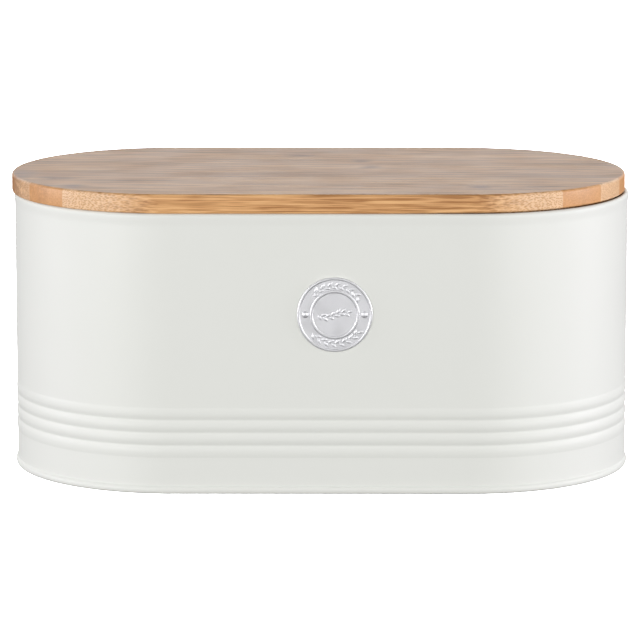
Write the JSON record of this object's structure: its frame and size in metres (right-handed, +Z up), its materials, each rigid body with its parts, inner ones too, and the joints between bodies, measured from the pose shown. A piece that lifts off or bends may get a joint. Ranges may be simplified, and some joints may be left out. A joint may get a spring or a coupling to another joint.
{
  "type": "bread box",
  "caption": "Obround bread box of painted steel sheet with swaged beads, a rolled rim and a seamed base; its loose bamboo lid drops into the mouth and lifts straight off.",
  "frame": {"origin": "middle of the footprint, on the worktop that the base seam stands on", "axes": "+X along the length of the box, +Z up, the front with the badge faces -Y"},
  "size_m": [0.3376, 0.1786, 0.1615],
  "materials": {
    "cream_paint": "satin",
    "badge_metal": "satin",
    "bamboo": "satin"
  },
  "bodies": {
    "box": {"body_shell": "cream_paint", "base_pan": "cream_paint", "badge_plate": "badge_metal", "badge_rivet_left": "badge_metal", "badge_rivet_right": "badge_metal"},
    "lid": {"lid_strip_1": "bamboo", "lid_strip_2": "bamboo", "lid_strip_3": "bamboo", "lid_strip_4": "bamboo", "lid_strip_5": "bamboo", "lid_strip_6": "bamboo", "lid_strip_7": "bamboo", "lid_strip_8": "bamboo", "lid_plug_strip_1": "bamboo", "lid_plug_strip_2": "bamboo", "lid_plug_strip_3": "bamboo", "lid_plug_strip_4": "bamboo", "lid_plug_strip_5": "bamboo", "lid_plug_strip_6": "bamboo", "lid_plug_strip_7": "bamboo"}
  },
  "joints": [
    {"name": "lid_lift", "type": "slide", "parent": "box", "child": "lid", "axis": [0, 0, 1], "range_m": [0, 0.2]}
  ]
}
